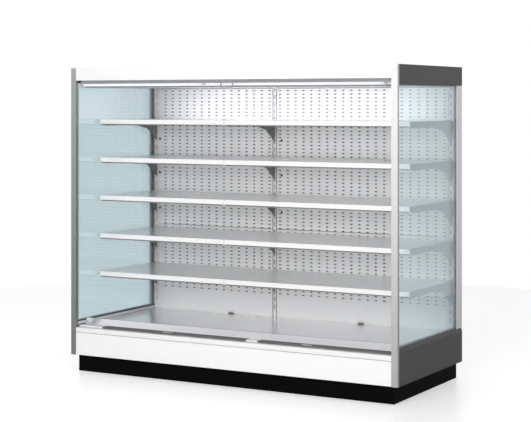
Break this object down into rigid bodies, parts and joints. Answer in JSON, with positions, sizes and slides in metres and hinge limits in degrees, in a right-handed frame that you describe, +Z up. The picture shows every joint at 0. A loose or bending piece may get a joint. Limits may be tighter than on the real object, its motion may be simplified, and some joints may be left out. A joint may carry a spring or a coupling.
{
  "type": "open multideck display fridge",
  "caption": "Open-front refrigerated display cabinet with tiered shelves in a narrow and a wide bay, glazed ends, night blind and fan-cooled base.",
  "frame": {"origin": "on the floor, under the middle of the cabinet's width and depth", "axes": "+X to the right along the cabinet, +Y from the open front to the back, +Z up"},
  "size_m": [2.3, 0.985, 1.955],
  "materials": {
    "black_plastic": "moulded, satin",
    "zinc_steel": "galvanised, satin",
    "black_plinth": "satin black",
    "tub_liner": "smooth grey-white paint",
    "white_paint": "smooth white powder coat",
    "white_bumper": "extruded, semi-gloss",
    "grille_dark": "moulded grid",
    "deck_white": "semi-gloss powder coat",
    "coil_aluminium": "thin fins",
    "copper": "drawn tube",
    "motor_black": "satin",
    "fan_blade": "moulded",
    "drain_grey": "satin",
    "back_panel_white": "powder coat",
    "upright_white": "powder coat",
    "shelf_white": "powder coat",
    "price_rail_white": "extruded, semi-gloss",
    "bracket_grey": "powder coat",
    "honeycomb": "moulded honeycomb",
    "lamp_glow": "lit opal tube",
    "lamp_holder_white": "moulded",
    "blind_cloth": "woven, aluminised",
    "bar_grey": "extruded",
    "glass": "clear double glazing",
    "spacer_dark": "dark spacer",
    "end_panel_grey": "satin dark grey",
    "post_aluminium": "anodised satin"
  },
  "bodies": {
    "cabinet": {"back_panel_lower_left": "back_panel_white", "back_panel_lower_right": "back_panel_white", "back_panel_upper_left": "back_panel_white", "back_panel_upper_right": "back_panel_white", "base_frame": "zinc_steel", "base_tub": "tub_liner", "blind_cassette": "zinc_steel", "bumper_cap": "white_bumper", "canopy_ceiling": "white_paint", "deck_supports": "zinc_steel", "drain_outlet": "drain_grey", "electrical_box": "zinc_steel", "end_glass_left": "glass", "end_glass_right": "glass", "end_lower_panels": "end_panel_grey", "end_top_panels": "end_panel_grey", "evaporator_coil": "coil_aluminium", "fan_motors": "motor_black", "fan_plate": "zinc_steel", "fascia": "white_paint", "front_posts": "post_aluminium", "glass_spacers": "spacer_dark", "honeycomb_outlet": "honeycomb", "inlet_end_covers": "white_paint", "lamp_holders": "lamp_holder_white", "lamp_tubes": "lamp_glow", "levelling_feet": "black_plastic", "liquid_pipe": "copper", "lower_front_panel": "white_paint", "plinth_front": "black_plinth", "plinth_sides": "black_plinth", "price_rails": "price_rail_white", "rear_panel": "tub_liner", "rear_posts": "post_aluminium", "roof_panel": "tub_liner", "shelf_brackets": "bracket_grey", "shelf_left_1": "shelf_white", "shelf_left_2": "shelf_white", "shelf_left_3": "shelf_white", "shelf_left_4": "shelf_white", "shelf_left_5": "shelf_white", "shelf_right_1": "shelf_white", "shelf_right_2": "shelf_white", "shelf_right_3": "shelf_white", "shelf_right_4": "shelf_white", "shelf_right_5": "shelf_white", "suction_pipe": "copper", "upright_centre": "upright_white", "upright_left": "upright_white", "upright_right": "upright_white"},
    "fan_left": {"fan_left": "fan_blade"},
    "fan_centre": {"fan_centre": "fan_blade"},
    "fan_right": {"fan_right": "fan_blade"},
    "night_blind": {"blind_bottom_bar": "bar_grey", "blind_fabric": "blind_cloth"},
    "blind_roll": {"blind_roller": "blind_cloth"},
    "deck_left": {"deck_pan_left": "deck_white"},
    "deck_right": {"deck_pan_right": "deck_white"},
    "grille_left": {"inlet_grille_left": "grille_dark"},
    "grille_right": {"inlet_grille_right": "grille_dark"}
  },
  "joints": [
    {"name": "fan_left_spin", "type": "hinge", "parent": "cabinet", "child": "fan_left", "pos_m": [-0.7, -0.3232, 0.23149], "axis": [0, -0.7071, 0.7071], "continuous": true},
    {"name": "fan_centre_spin", "type": "hinge", "parent": "cabinet", "child": "fan_centre", "pos_m": [0, -0.3232, 0.23149], "axis": [0, -0.7071, 0.7071], "continuous": true},
    {"name": "fan_right_spin", "type": "hinge", "parent": "cabinet", "child": "fan_right", "pos_m": [0.7, -0.3232, 0.23149], "axis": [0, -0.7071, 0.7071], "continuous": true},
    {"name": "night_blind_pull", "type": "slide", "parent": "cabinet", "child": "night_blind", "axis": [0, 0, -1], "range_m": [0, 1.51], "stiffness_N_per_m": 12, "springref_m": -2, "deforming": ["blind_fabric"]},
    {"name": "blind_roll_turn", "type": "hinge", "parent": "cabinet", "child": "blind_roll", "pos_m": [0, -0.4265, 1.908], "axis": [1, 0, 0], "range_deg": [0, 3480]},
    {"name": "deck_left_lift", "type": "slide", "parent": "cabinet", "child": "deck_left", "axis": [0, 0, 1], "range_m": [0, 0.15]},
    {"name": "deck_right_lift", "type": "slide", "parent": "cabinet", "child": "deck_right", "axis": [0, 0, 1], "range_m": [0, 0.15]},
    {"name": "grille_left_lift", "type": "slide", "parent": "cabinet", "child": "grille_left", "axis": [0, 0, 1], "range_m": [0, 0.04]},
    {"name": "grille_right_lift", "type": "slide", "parent": "cabinet", "child": "grille_right", "axis": [0, 0, 1], "range_m": [0, 0.04]}
  ],
  "couplings": [
    {"joint": "blind_roll_turn", "follows": "night_blind_pull", "rad_per_m": 40}
  ]
}
